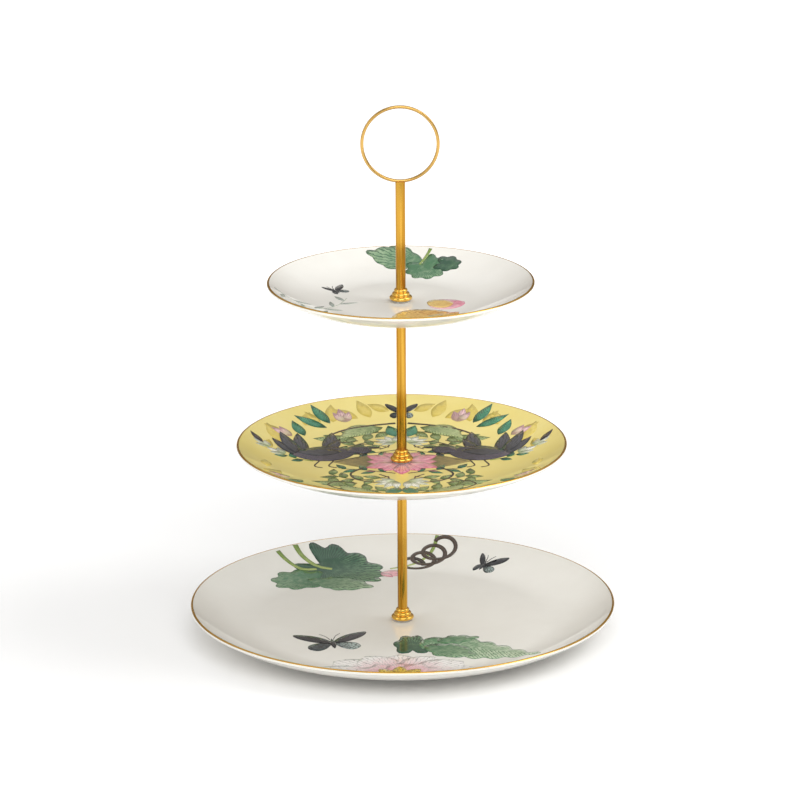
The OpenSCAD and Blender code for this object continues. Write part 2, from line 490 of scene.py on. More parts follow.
# %% Unglazed foot
GRIT_SIZE = 0.2
GRIT_DEPTH = 0.05
unglazed_foot, tree = new_finish("unglazed_china_foot")
place = add_node(tree, "ShaderNodeTexCoord")
grit = add_node(
    tree,
    "ShaderNodeTexNoise",
    {"Vector": place.outputs["Object"], "Scale": per_metre(GRIT_SIZE), "Detail": 4.0},
)
grit_bump = add_node(
    tree, "ShaderNodeBump", {"Height": grit.outputs["Fac"], "Strength": 0.4, "Distance": GRIT_DEPTH * MM}
)
close_finish(
    tree,
    {
        "Base Color": clouded(tree, "#D8D2C6", "#E4DFD6", 4),
        "Roughness": 0.8,
        "Normal": grit_bump.outputs["Normal"],
    },
)
print("foot grit drawn at", GRIT_SIZE, "mm")

# %% [markdown]
# ## Gold
# The collars are brass that is turned, buffed and plated with gold. Gold is a true metal, so all its
# colour is reflection, and a metal keeps the shader's own IOR. Buffing leaves fine lines round a turned
# part, which the eye reads as slow changes of gloss. Real lines are far finer than a tenth of a
# millimetre, so they are drawn as bands that are coarse enough to show: 6 mm round and 0.6 mm high.

# %% Polished gold plate
BAND_ROUND = 6
BAND_HIGH = 0.6
plated_gold, tree = new_finish("polished_gold_plate")
place = add_node(tree, "ShaderNodeTexCoord")
stretch = add_node(
    tree,
    "ShaderNodeMapping",
    {
        "Vector": place.outputs["Object"],
        "Scale": (per_metre(BAND_ROUND), per_metre(BAND_ROUND), per_metre(BAND_HIGH)),
    },
)
buffing = add_node(
    tree, "ShaderNodeTexNoise", {"Vector": stretch.outputs["Vector"], "Scale": 1.0, "Detail": 4.0}
)
gloss = add_node(
    tree, "ShaderNodeMapRange", {"Value": buffing.outputs["Fac"], "To Min": 0.08, "To Max": 0.2}
)
buffed = add_node(
    tree, "ShaderNodeBump", {"Height": buffing.outputs["Fac"], "Strength": 0.08, "Distance": 0.02 * MM}
)
close_finish(
    tree,
    {
        "Base Color": clouded(tree, "#E2AE45", "#EEC263", 9),
        "Metallic": 1.0,
        "Roughness": gloss.outputs["Result"],
        "Normal": buffed.outputs["Normal"],
    },
)
print("buffing bands", BAND_HIGH, "mm high")

# %% [markdown]
# The rods are brass bar, pulled through a die and then plated. The die leaves faint lines along the bar,
# so the eye sees narrow paler and deeper stripes of gold from end to end. The stripes are partly these
# lines and partly a painted reflection: their darker and paler gold in the colour stands in for the dark
# and bright bands of the room that a round rod reflects. Real die lines are a few hundredths of a
# millimetre wide: they are drawn about two millimetres wide here, so that they show.

# %% Drawn gold-plated rod
DIE_LINE_WIDTH = 2.2
DIE_LINE_LENGTH = 160
drawn_gold, tree = new_finish("drawn_gold_plated_rod")
place = add_node(tree, "ShaderNodeTexCoord")
stretch = add_node(
    tree,
    "ShaderNodeMapping",
    {
        "Vector": place.outputs["Object"],
        "Scale": (per_metre(DIE_LINE_WIDTH), per_metre(DIE_LINE_WIDTH), per_metre(DIE_LINE_LENGTH)),
    },
)
die_line_and_reflection_noise = add_node(
    tree, "ShaderNodeTexNoise", {"Vector": stretch.outputs["Vector"], "Scale": 1.0, "Detail": 2.0}
)
band = add_node(
    tree, "ShaderNodeMapRange", {"Value": die_line_and_reflection_noise.outputs["Fac"], "From Min": 0.32, "From Max": 0.68}
)
gloss = add_node(
    tree, "ShaderNodeMapRange", {"Value": die_line_and_reflection_noise.outputs["Fac"], "To Min": 0.1, "To Max": 0.24}
)
# Painted reflection in part: the stripes' darker and paler gold stand in for the room's bands in the rod.
die_line_and_painted_reflection_tint = add_node(
    tree,
    "ShaderNodeMix",
    {"Factor": band.outputs["Result"], "A": linear("#A06D16"), "B": linear("#D6A747")},
    data_type="RGBA",
)
close_finish(
    tree,
    {"Base Color": die_line_and_painted_reflection_tint.outputs["Result"], "Metallic": 1.0, "Roughness": gloss.outputs["Result"]},
)
print("die lines", DIE_LINE_WIDTH, "mm wide")

# %% [markdown]
# The ring is bought wire, bent, brazed and plated. It is polished less than the collars, so it gives
# the eye a softer, slightly browner gold with no lines. The line on each rim is liquid gold, laid on the
# glaze with a brush and fired: a thin bright metal whose gloss varies with the brush over a few
# millimetres.

# %% Wire gold and rim gilding
BRUSH_MARK = 3
wire_gold, tree = new_finish("gold_plated_wire")
close_finish(tree, {"Base Color": clouded(tree, "#BE9650", "#D2AC66", 7), "Metallic": 1.0, "Roughness": 0.2})

rim_gold, tree = new_finish("fired_rim_gilding")
place = add_node(tree, "ShaderNodeTexCoord")
brushing = add_node(
    tree,
    "ShaderNodeTexNoise",
    {"Vector": place.outputs["Object"], "Scale": per_metre(BRUSH_MARK), "Detail": 3.0},
)
gloss = add_node(
    tree, "ShaderNodeMapRange", {"Value": brushing.outputs["Fac"], "To Min": 0.16, "To Max": 0.32}
)
close_finish(
    tree,
    {
        "Base Color": clouded(tree, "#CF9F42", "#E4B95E", 5),
        "Metallic": 1.0,
        "Roughness": gloss.outputs["Result"],
    },
)
print("gold finishes:", [gold.name for gold in (plated_gold, drawn_gold, wire_gold, rim_gold)])

# %% [markdown]
# ## The plates
# Each plate is a coupe: a level well that sweeps up to a rolled rim without a flat border, on a
# short foot. A plate could be a disc bent by a modifier, but a potter shapes it with one profile, and
# so does this class: the section runs from the well's edge out along the face, round the lip, back
# along the underside, down the foot and through the hole. All three plates share it, and their widths
# and heights come from the frame. A sweep stops just short of the lip's middle, or just past it below,
# so that the lip's own arc closes it smoothly.

# %% Plate sections
LIP_RADIUS = 1.2
LIP_EDGE = 1.1
FACE_STOP = 0.35
UNDER_STOP = -0.3
LIP_START = 100
LIP_END = -58
FACE_STEPS = 60
UNDER_STEPS = 40
LIP_STEPS = 16
GILT_STEPS = 7
FOOT_EASE = 0.4
FOOT_FLARE = 0.5
FOOT_FILLET = 0.7
FOOT_CONTACT = 0.05
HOLE_EASE = 0.3
PLATE_TURNS = 192


class Plate:
    """The measured shape of one plate."""

    def __init__(self, node, upper_washer, under_washer):
        self.node = node
        self.foot, self.top = heights(node)
        self.well = heights(upper_washer)[0]
        self.under = heights(under_washer)[1]
        self.rim = radii(node)[1]
        self.hole = radii(node)[0]
        self.well_edge = radii(node, self.well)[1]
        self.foot_in, self.foot_out = radii(node, self.foot)
        self.lip = (self.rim - LIP_RADIUS, self.top - LIP_RADIUS)
        self.reach = self.lip[0] - self.well_edge
        self.face_curve = self.sweep(self.lip[1] - self.well, LIP_EDGE)
        self.under_curve = self.sweep(self.lip[1] - self.under, -LIP_EDGE)

    def sweep(self, rise, edge):
        """The radius of a curve that leaves the well level and passes the lip's edge."""
        return (self.reach**2 + rise**2 - edge**2) / (2 * (rise + edge))

    def face(self, radius):
        """The height of the plate's upper face at a radius."""
        out = max(0.0, radius - self.well_edge)
        return self.well + self.face_curve - math.sqrt(self.face_curve**2 - out**2)

    def side(self, base, curve, steps, inset):
        """The sweep from the well's edge to the lip, stopping short of the lip by inset."""
        end = math.degrees(math.asin((self.reach - inset) / curve))
        return arc((self.well_edge, base + curve), curve, -90, -90 + end, steps)

    def section(self):
        """The closed section, and the finish that starts at each of its points.

        Finish 0 is the plate's face, 1 the gilding, 2 white china and 3 the unglazed foot."""
        upper = self.side(self.well, self.face_curve, FACE_STEPS, FACE_STOP)
        lower = self.side(self.under, self.under_curve, UNDER_STEPS, UNDER_STOP)
        roll = arc(self.lip, LIP_RADIUS, LIP_START, LIP_END, LIP_STEPS)
        foot = eased(
            [
                (self.well_edge, self.under, 0),
                (self.foot_out + FOOT_EASE + FOOT_FLARE, self.under, FOOT_FILLET),
                (self.foot_out + FOOT_EASE, self.foot, FOOT_EASE),
                (self.foot_in - FOOT_EASE, self.foot, FOOT_EASE),
                (self.foot_in - FOOT_EASE - FOOT_FLARE, self.under, FOOT_FILLET),
                (self.hole, self.under, HOLE_EASE),
                (self.hole, self.well, HOLE_EASE),
                (self.well_edge, self.well, 0),
            ]
        )[1:-1]
        gilt, plain = roll[:GILT_STEPS], roll[GILT_STEPS:]
        parts = [(upper, 0), (gilt, 1), (plain, 2), (list(reversed(lower)), 2), (foot, 2)]
        section = [point for points, _ in parts for point in points]
        wears = [finish for points, finish in parts for _ in points]
        wears[len(upper) - 1] = 1
        for i, (_, height) in enumerate(section):
            if height < self.foot + FOOT_CONTACT:
                wears[i] = 3
        # The hole's wall and its upper edge are glazed like the face.
        hole_points = EASE_STEPS + 2
        wears[-hole_points:] = [0] * hole_points
        return section, wears


PLATES = {
    "large": Plate("large_plate", "large_plate_washer", "base_washer"),
    "medium": Plate("medium_plate", "medium_plate_washer", "medium_under_washer"),
    "small": Plate("small_plate", "small_plate_washer", "small_under_washer"),
}
FACES = {"large": white_china, "medium": yellow_china, "small": white_china}
for size, plate in PLATES.items():
    section, wears = plate.section()
    finishes = [FACES[size], rim_gold, white_china, unglazed_foot]
    turned_piece(plate.node, section, finishes, PLATE_TURNS, wears)
    print(size, "plate: radius", round(plate.rim, 1), "mm, well radius", round(plate.well_edge, 1), "mm")

# %% [markdown]
# ## The column
# A stepped collar of three rounded beads hides the joint above each plate. A turner would cut the
# beads with a form tool. They could be three tori, but the collar is one piece of metal, so the beads
# are arcs in one section, trimmed where one runs into the next, and the grooves stay crisp.

# %% Collars
BEAD_STEPS = 18


def bead_arc(bead):
    """The rounded edge of one bead (radius, bottom, top)."""
    radius, bottom, top = bead
    half_height = (top - bottom) / 2
    return arc((radius - half_height, bottom + half_height), half_height, -90, 90, BEAD_STEPS)


def inside_bead(point, bead):
    """True if a point of the section lies inside a bead."""
    radius, bottom, top = bead
    half_height = (top - bottom) / 2
    out = max(0.0, point[0] - (radius - half_height))
    return math.hypot(out, point[1] - bottom - half_height) < half_height - 1e-6


BEAD_HEIGHTS = (2.6, 2.4, 2.3)
BEAD_SET_BACKS = (0, 1.6, 2.9)
BEAD_SINK = 0.4
COLLAR_FLOOR = 2.2
ROD_SLACK = 0.06
STUD_SLACK = 0.1


def collar_section(node, rod, stud_radius):
    """The section of a collar, measured from its node."""
    bottom, top = heights(node)
    widest = radii(node)[1]
    socket = radii(rod)[1] + ROD_SLACK
    beads, level = [], bottom
    for i, height in enumerate(BEAD_HEIGHTS):
        beads.append((widest - BEAD_SET_BACKS[i], level - (BEAD_SINK if i else 0), level + height))
        level += height
    outside = []
    for i, bead in enumerate(beads):
        others = beads[:i] + beads[i + 1 :]
        outside += [p for p in bead_arc(bead) if not any(inside_bead(p, other) for other in others)]
    floor = bottom + COLLAR_FLOOR
    inside = [
        (outside[-1][0], top, 0),
        (socket, top, 0.15),
        (socket, floor, 0.2),
        (stud_radius, floor, 0.1),
        (stud_radius, bottom, 0.1),
    ]
    return outside + eased(inside)[1:]


STUD_RADIUS = radii("lower_stud")[1]
COLLARS = {"lower_collar": "lower_rod", "middle_collar": "middle_rod", "handle_collar": "handle_rod"}
for collar, rod in COLLARS.items():
    turned_piece(collar, collar_section(collar, rod, STUD_RADIUS + STUD_SLACK), [plated_gold])
print("collar radius", round(radii("lower_collar")[1], 2), "mm, stud radius", round(STUD_RADIUS, 2), "mm")

# %% [markdown]
# The rods are drawn bar with lightly broken edges. Each is solid, tapped in its foot, and the two lower
# ones carry a set stud in the head. A plain cylinder would look the same while the stand is together,
# but the holes are real here, so that an unscrewed rod shows an open end rather than a blank one.

# %% Rods
STUD_SET = 9.0
TAPPED_DEPTH = 9.9
DRILL_POINT = 1.0
THREAD_SLACK = 0.05
for rod in COLLARS.values():
    bottom, top = heights(rod)
    outer = radii(rod)[1]
    bore = STUD_RADIUS + THREAD_SLACK
    corners = [(outer, bottom, 0.3), (outer, top, 0.35)]
    if rod == "handle_rod":
        corners.append((0, top, 0))
    else:
        corners += [(STUD_RADIUS, top, 0.1), (STUD_RADIUS, top - STUD_SET, 0), (0, top - STUD_SET, 0)]
    drilled = bottom + TAPPED_DEPTH
    corners += [(0, drilled, 0), (bore, drilled - DRILL_POINT, 0), (bore, bottom, 0.3)]
    turned_piece(rod, eased(corners), [drawn_gold])
print("rods:", [round(heights(rod)[1] - heights(rod)[0], 1) for rod in COLLARS.values()], "mm long")

# %% [markdown]
# The ring is one loop of round wire, brazed upright into the rod's end. A torus primitive would do,
# but spinning the wire's round section keeps the ring's size tied to the frame and its quads even. It
# is spun lying flat, and then stood up on the rod.

# %% Ring handle
ring_low, ring_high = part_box("handle_ring")
wire = (ring_high.y - ring_low.y) / MM / 2
ring_centre = (ring_low.z + ring_high.z) / MM / 2
ring_radius = (ring_high.x - ring_low.x) / MM / 2 - wire
WIRE_STEPS = 24
bm = bmesh.new()
wire_section = arc((ring_radius, 0), wire, 0, 360, WIRE_STEPS)[:-1]
lathe_into(bm, wire_section, PLATE_TURNS)
bmesh.ops.rotate(bm, verts=bm.verts, matrix=Matrix.Rotation(math.radians(90), 3, "X"))
bmesh.ops.translate(bm, verts=bm.verts, vec=(0, 0, ring_centre * MM))
stands_for(link_piece("ring_of_round_wire", bm, [wire_gold]), "handle_ring")
print("ring", round(2 * (ring_radius + wire), 1), "mm across, wire", round(2 * wire, 2), "mm")

# %% [markdown]
# ## Studs, screw, seats and washers
# The hidden fittings are plain machined brass, left as the lathe leaves it. It gives the eye a duller,
# greener gold than the plating, with gloss that changes over the tool's marks. Real marks are about a
# tenth of a millimetre apart, so they are drawn coarser here. The washers are stamped from clear
# soft vinyl sheet, which lets light in and scatters it, so they look like a pale, milky edge.

# %% Machined brass and clear plastic
TOOL_MARK = 0.8
VINYL_HAZE = 3
machined_brass, tree = new_finish("machined_brass")
place = add_node(tree, "ShaderNodeTexCoord")
lathe_marks = add_node(
    tree,
    "ShaderNodeTexNoise",
    {"Vector": place.outputs["Object"], "Scale": per_metre(TOOL_MARK), "Detail": 3.0},
)
gloss = add_node(
    tree, "ShaderNodeMapRange", {"Value": lathe_marks.outputs["Fac"], "To Min": 0.22, "To Max": 0.38}
)
close_finish(
    tree,
    {
        "Base Color": clouded(tree, "#C9A24C", "#DDBB6A", 4),
        "Metallic": 1.0,
        "Roughness": gloss.outputs["Result"],
    },
)

clear_plastic, tree = new_finish("clear_soft_vinyl")
place = add_node(tree, "ShaderNodeTexCoord")
haze = add_node(
    tree,
    "ShaderNodeTexNoise",
    {"Vector": place.outputs["Object"], "Scale": per_metre(VINYL_HAZE), "Detail": 3.0},
)
gloss = add_node(tree, "ShaderNodeMapRange", {"Value": haze.outputs["Fac"], "To Min": 0.18, "To Max": 0.34})
close_finish(
    tree,
    {
        "Base Color": clouded(tree, "#F4F2EA", "#FBFAF6", 6),
        "Roughness": gloss.outputs["Result"],
        "IOR": 1.53,
        "Transmission Weight": 0.55,
    },
)
FITTINGS = {"gilt_metal": plated_gold, "threaded_brass": machined_brass, "clear_plastic": clear_plastic}
print("finishes for the fittings:", sorted(FITTINGS))

# %% [markdown]
# The studs and the base screw are turned from brass rod and cut with a standard M4 thread, which climbs
# 0.7 mm in a turn. The thread could be a bump in the finish, but unscrewed studs are seen against the
# light, so the ridge is real: each point's radius follows a triangle wave that winds up the shank, and
# the ridge fades out over half a millimetre at each end.

# %% Threads
THREAD_PITCH = 0.7
THREAD_DEPTH = 0.43
THREAD_LEAD = 0.5
THREAD_ROWS = 8
THREAD_TURN = 40
CREST_SLACK = 0.02


def thread_into(bm, bottom, top, major):
    """A right-handed threaded shank, closed at both ends."""
    count = round((top - bottom) / THREAD_PITCH * THREAD_ROWS)
    rings = []
    for i in range(count + 1):
        height = bottom + (top - bottom) * i / count
        end = min(height - bottom, top - height, THREAD_LEAD) / THREAD_LEAD
        ring = []
        for k in range(THREAD_TURN):
            phase = (height / THREAD_PITCH - k / THREAD_TURN) % 1.0
            groove = THREAD_DEPTH * (1 - abs(2 * phase - 1))
            radius = (major - max(groove, (1 - end) * THREAD_DEPTH)) * MM
            turn = 2 * math.pi * k / THREAD_TURN
            ring.append(bm.verts.new((radius * math.cos(turn), radius * math.sin(turn), height * MM)))
        rings.append(ring)
    for low, high in zip(rings, rings[1:]):
        for k in range(THREAD_TURN):
            after = (k + 1) % THREAD_TURN
            bm.faces.new([low[k], low[after], high[after], high[k]])
    bm.faces.new(list(reversed(rings[0])))
    bm.faces.new(rings[-1])


for stud in ("lower_stud", "upper_stud"):
    bottom, top = heights(stud)
    bm = bmesh.new()
    thread_into(bm, bottom, top, STUD_RADIUS - CREST_SLACK)
    stands_for(link_piece("threaded_" + stud, bm, [FITTINGS[slot_of[stud]]]), stud)
    print(stud, round(top - bottom, 1), "mm long,", round((top - bottom) / THREAD_PITCH), "turns of thread")

# %% [markdown]
# The base screw has a flat slotted head that hides in the foot of the large plate. Its slot is milled,
# so here a Boolean takes a bar out of the turned head, just as the cutter does.

# %% Base screw
SLOT_WIDTH = 1.2
SLOT_DEPTH = 0.8
HEAD_BEVEL = 0.8
SHANK_START = 2.4
SHANK_OVERLAP = 0.2
CUTTER_SPARE = 1
HEAD_TURNS = 72


def milled(piece, low, high):
    """Takes a box, given by two corners in millimetres, out of a piece."""
    bm = bmesh.new()
    bmesh.ops.create_cube(bm, size=1.0)
    for vertex in bm.verts:
        vertex.co = [(low[i] if vertex.co[i] < 0 else high[i]) * MM for i in range(3)]
    cutter_mesh = bpy.data.meshes.new("cutter")
    bm.to_mesh(cutter_mesh)
    bm.free()
    cutter = bpy.data.objects.new("cutter", cutter_mesh)
    bpy.context.scene.collection.objects.link(cutter)
    cut_out = piece.modifiers.new("slot", "BOOLEAN")
    cut_out.operation = "DIFFERENCE"
    cut_out.solver = "EXACT"
    cut_out.object = cutter
    bpy.context.view_layer.update()
    shaped = piece.evaluated_get(bpy.context.evaluated_depsgraph_get())
    piece.data = bpy.data.meshes.new_from_object(shaped)
    piece.modifiers.clear()
    bpy.data.objects.remove(cutter)


bottom, top = heights("base_screw")
head = radii("base_screw")[1]
bm = bmesh.new()
corners = [
    (0, bottom, 0),
    (head - HEAD_BEVEL, bottom, 0.2),
    (head, bottom + HEAD_BEVEL, 0.3),
    (head, SHANK_START, 0.25),
    (0, SHANK_START, 0),
]
lathe_into(bm, eased(corners), HEAD_TURNS)
screw = link_piece("slotted_base_screw", bm, [machined_brass])
milled(
    screw,
    (-head - CUTTER_SPARE, -SLOT_WIDTH / 2, bottom - CUTTER_SPARE),
    (head + CUTTER_SPARE, SLOT_WIDTH / 2, bottom + SLOT_DEPTH),
)
bm = bmesh.new()
bm.from_mesh(screw.data)
thread_into(bm, SHANK_START - SHANK_OVERLAP, top, STUD_RADIUS - CREST_SLACK)
bm.to_mesh(screw.data)
bm.free()
screw.data.shade_smooth()
stands_for(screw, "base_screw")
print("base screw head", round(2 * head, 1), "mm across, shank to", round(top, 1), "mm")

# %% [markdown]
# China must never be pinched between bare metals, so soft clear washers go above and below each
# plate. The seats and the screw's own washer are stamped metal with a softly rounded edge. All of them
# are the same simple ring, so one loop makes them, each from its own node's sizes.

# %% Seats and washers
FLAT_TURNS = 72
OUTER_EASE = 0.3
HOLE_BREAK = 0.15
flat_pieces = [node for node in slot_of if node.endswith(("washer", "seat"))]
for node in flat_pieces:
    bottom, top = heights(node)
    hole, outer = radii(node)
    corners = [
        (hole, bottom, HOLE_BREAK),
        (outer, bottom, OUTER_EASE),
        (outer, top, OUTER_EASE),
        (hole, top, HOLE_BREAK),
    ]
    turned_piece(node, eased(corners), [FITTINGS[slot_of[node]]], FLAT_TURNS)
print("flat pieces:", len(flat_pieces))

# %% [markdown]
# ## Painted decoration
# Botanical china is decorated with printed transfers: a thin layer of ceramic colour is slid on to the
# glazed plate and fired in. A shader mask could draw the same outlines, but a leaf cut as its own
# thin sheet keeps a crisp edge at any distance and follows the curve of the plate. Every motif here
# comes from a few plain shapes of our own: a blade, a scalloped leaf, a wing and a painted line.

# %% Leaf outlines, in millimetres
NOTCH_DEPTH = 0.55
NOTCH_WIDTH = 0.3
STALK_SHIFT = 0.12


def blade(length, width, widest=0.45, bend=0.0, blunt=1.0, steps=12):
    """A leaf or petal from the origin along +X. widest is where it is broadest."""
    power = math.log(0.5) / math.log(widest)
    upper, lower = [], []
    for k in range(steps + 1):
        t = k / steps
        half_width = width / 2 * abs(math.sin(math.pi * t**power)) ** blunt
        middle = bend * length * math.sin(math.pi * t)
        upper.append((t * length, middle + half_width))
        lower.append((t * length, middle - half_width))
    return lower[:-1] + list(reversed(upper[1:]))


def scalloped(length, width, lobes=9, depth=0.16, steps=8):
    """A rounded leaf with scalloped lobes. Its stalk meets it at the origin, in a deep notch."""
    loop, count = [], lobes * steps
    for k in range(count):
        turn = 2 * math.pi * k / count
        scallop = 1 - depth * abs(math.cos(lobes * turn / 2)) ** 3
        notch = 1 - NOTCH_DEPTH * math.exp(-(((turn - math.pi) / NOTCH_WIDTH) ** 2))
        reach = scallop * notch / 2
        loop.append((length * (STALK_SHIFT + reach * math.cos(turn)), width * reach * math.sin(turn)))
    return loop


print("blade outline:", len(blade(30, 12)), "points; scalloped leaf:", len(scalloped(30, 20)), "points")

# %% [markdown]
# A painter's stroke has no corners, so a line through a few chosen points is smoothed before it is used.
# A Bezier curve object would do it too, but it would have to be turned back into points. Frilling adds
# small lobes along a leaf's margin, and placing turns, moves and mirrors a shape on the plate.

# %% Smoothing, frilling and placing


def smooth(points, steps=5, closed=True):
    """A smooth line through the points: each span is a Catmull-Rom curve of its four neighbours."""
    line, count = [], len(points)
    for i in range(count if closed else count - 1):
        if closed:
            a, b, c, d = [Vector(points[(i + k - 1) % count]) for k in range(4)]
        else:
            a, b, c, d = [Vector(points[min(max(i + k - 1, 0), count - 1)]) for k in range(4)]
        for s in range(steps):
            t = s / steps
            pull = (2 * a - 5 * b + 4 * c - d) * t**2 + (3 * b - a - 3 * c + d) * t**3
            line.append(0.5 * (2 * b + (c - a) * t + pull))
    if not closed:
        line.append(Vector(points[-1]))
    return [(p.x, p.y) for p in line]


def frilled(loop, bumps, depth):
    """The loop with rounded lobes along its margin."""
    moved, count = [], len(loop)
    for i, (x, y) in enumerate(loop):
        along = (Vector(loop[(i + 1) % count]) - Vector(loop[i - 1])).normalized()
        swell = depth * abs(math.sin(math.pi * bumps * i / count))
        moved.append((x + along.y * swell, y - along.x * swell))
    return moved


def placed(points, x, y, heading, size=1.0, flip=(1, 1)):
    """Points turned to a heading in degrees and moved, then mirrored about the plate's axes."""
    ahead, aside = math.cos(math.radians(heading)) * size, math.sin(math.radians(heading)) * size
    moved = [(x + px * ahead - py * aside, y + px * aside + py * ahead) for px, py in points]
    return [(flip[0] * px, flip[1] * py) for px, py in moved]


sample = smooth([(0, 0), (5, 2), (9, 0)], closed=False)
print("a line through 3 points is smoothed to", len(sample), "points")

# %% [markdown]
# A transfer printer keeps a book of motifs, and so does this script. A motif remembers its outline, and
# a base point and heading, so that its finish can be painted along the leaf rather than across the
# plate: veins and petal streaks start from the base point. Each motif could be an object of its own,
# but motifs on one plate that share a finish are one print, so they become one piece.

# %% Motif book
motif_book = {}


def motif(size, finish, loop, x, y, heading, layer, flip=(1, 1), scale=1.0):
    """Adds a filled outline to the book."""
    turn = math.radians(heading)
    motif_book.setdefault((size, finish), []).append(
        {
            "loop": placed(loop, x, y, heading, scale, flip),
            "base": (flip[0] * x, flip[1] * y),
            "axis": (flip[0] * math.cos(turn), flip[1] * math.sin(turn)),
            "layer": layer,
        }
    )


def motif_count(size):
    """How many motifs are in the book for one plate."""
    return sum(len(entries) for (plate_size, _), entries in motif_book.items() if plate_size == size)


print("motifs in the book:", sum(motif_count(size) for size in PLATES))

# %% [markdown]
# Leaves, stems and sprigs make up most of the decoration. A sprig on the real plate is drawn leaf by
# leaf, and so it is here: the helper walks along the stem and puts a leaf on alternate sides.

# %% Leaves, stems and sprigs
STALK_WIDTH = 1.1


def leaf(size, finish, x, y, heading, length, width, layer=0, flip=(1, 1), lobes=None, **form):
    """Adds one blade, as a leaf or a petal. lobes is how many and how deep."""
    loop = blade(length, width, **form)
    if lobes:
        loop = frilled(smooth(loop, 4), *lobes)
    motif(size, finish, loop, x, y, heading, layer, flip)


def round_leaf(size, finish, x, y, heading, length, width, layer=0, flip=(1, 1), **form):
    """Adds one scalloped leaf."""
    motif(size, finish, scalloped(length, width, **form), x, y, heading, layer, flip)


def stem(size, finish, points, width, layer=0, flip=(1, 1), taper=0.6, climb=0.0, steps=8):
    """Adds a painted line. It narrows to taper, and climbs so that it can cross itself."""
    path = placed(smooth(points, steps, closed=False), 0, 0, 0, 1.0, flip)
    motif_book.setdefault((size, finish), []).append(
        {"path": path, "width": width, "taper": taper, "climb": climb, "layer": layer}
    )


def sprig(size, stalk, foliage, points, length, width, layer, flip=(1, 1), gap=7.0, spread=48):
    """Adds a thin stem with leaves on alternate sides."""
    stem(size, stalk, points, STALK_WIDTH, layer, flip)
    path, run, side = smooth(points, 10, closed=False), 0.0, 1
    for before, here in zip(path, path[1:]):
        run += math.dist(before, here)
        if run >= gap:
            run, side = 0.0, -side
            heading = math.degrees(math.atan2(here[1] - before[1], here[0] - before[0])) + side * spread
            leaf(size, foliage, here[0], here[1], heading, length, width, layer + 1, flip)


print("a sprig's stalk is", STALK_WIDTH, "mm wide")

# %% [markdown]
# Before a motif is laid on a plate, its outline is trimmed at the rim and filled with small triangles.
# One big face would stay flat while the plate curves under it, and a Shrinkwrap modifier would leave
# ragged edges. A Delaunay cut keeps the outline exactly and adds points inside, a few millimetres
# apart, so that the sheet can bend.

# %% Cutting an outline into triangles
CUT_SPACING = 3.2
ROW_SHARE = 0.87
ROW_STARTS = (0.25, 0.5)
RIM_MARGIN = 1.6
SAME_POINT = 0.05
MERGE_WITHIN = 1e-4


def trimmed(plate, points):
    """Keeps an outline inside the rim."""
    limit, kept = plate.rim - RIM_MARGIN, []
    for x, y in points:
        share = min(1.0, limit / max(math.hypot(x, y), 0.01))
        if not kept or math.dist((x * share, y * share), kept[-1]) > SAME_POINT:
            kept.append((x * share, y * share))
    while len(kept) > 3 and math.dist(kept[0], kept[-1]) < SAME_POINT:
        kept.pop()
    return kept


def encloses(loop, x, y):
    """True if the loop encloses the point."""
    inside = False
    for (ax, ay), (bx, by) in zip(loop, loop[1:] + loop[:1]):
        if (ay > y) != (by > y) and x < ax + (bx - ax) * (y - ay) / (by - ay):
            inside = not inside
    return inside


def cut(loop):
    """Triangles that fill the loop: their points, their corners, and which points are on its edge."""
    xs, ys = [p[0] for p in loop], [p[1] for p in loop]
    inner, row, y = [], 0, min(ys) + CUT_SPACING / 2
    while y < max(ys):
        x = min(xs) + CUT_SPACING * ROW_STARTS[row % 2]
        while x < max(xs):
            if encloses(loop, x, y) and min(math.dist((x, y), p) for p in loop) > CUT_SPACING / 2:
                inner.append((x, y))
            x += CUT_SPACING
        y += CUT_SPACING * ROW_SHARE
        row += 1
    given = [Vector(p) for p in loop + inner]
    outline = [list(range(len(loop)))]
    points, _, triangles, origins, _, _ = delaunay_2d_cdt(given, [], outline, 1, MERGE_WITHIN)
    edge = [any(source < len(loop) for source in sources) for sources in origins]
    return [tuple(p) for p in points], triangles, edge


print("a blade 30 mm long is cut into", len(cut(blade(30, 12))[1]), "triangles")

# %% [markdown]
# A real transfer is a few hundredths of a millimetre thick, and each layer here is as thin as a renderer
# can still tell apart. Each point of a cut motif is dropped on to the plate's curve, and a second copy
# just under the glaze closes the sheet. Two texture maps go with it: "drawing" is the place along and
# across the motif in millimetres, and "edge" is nought on the cut edge and one inside, so that a
# finish can darken its own outline.

# %% Laying a cut sheet
PRINT_SINK = 0.03


def on_plate(plate, x, y, lift):
    """A point of the plan, on the plate's face, in metres."""
    return Vector((x * MM, y * MM, (plate.face(math.hypot(x, y)) + lift) * MM))


def lay_cut(bm, maps, plate, entry, lift):
    """Lays one filled outline on the plate as a closed thin sheet."""
    points, triangles, edge = cut(trimmed(plate, entry["loop"]))
    top = [bm.verts.new(on_plate(plate, x, y, lift)) for x, y in points]
    low = [bm.verts.new(on_plate(plate, x, y, -PRINT_SINK)) for x, y in points]
    number = {vertex: i for vertices in (top, low) for i, vertex in enumerate(vertices)}
    sides, faces = {}, []
    for triangle in triangles:
        faces.append(bm.faces.new([top[i] for i in triangle]))
        faces.append(bm.faces.new([low[i] for i in reversed(triangle)]))
        for a, b in zip(triangle, list(triangle[1:]) + [triangle[0]]):
            sides.setdefault(frozenset((a, b)), []).append((a, b))
    for uses in sides.values():
        if len(uses) == 1:
            a, b = uses[0]
            faces.append(bm.faces.new([top[b], top[a], low[a], low[b]]))
    (bx, by), (ax, ay) = entry["base"], entry["axis"]
    for corner in [corner for face in faces for corner in face.loops]:
        i = number[corner.vert]
        dx, dy = points[i][0] - bx, points[i][1] - by
        corner[maps[0]].uv = (dx * ax + dy * ay, dy * ax - dx * ay)
        corner[maps[1]].uv = (0.0 if edge[i] else 1.0, 0.0)


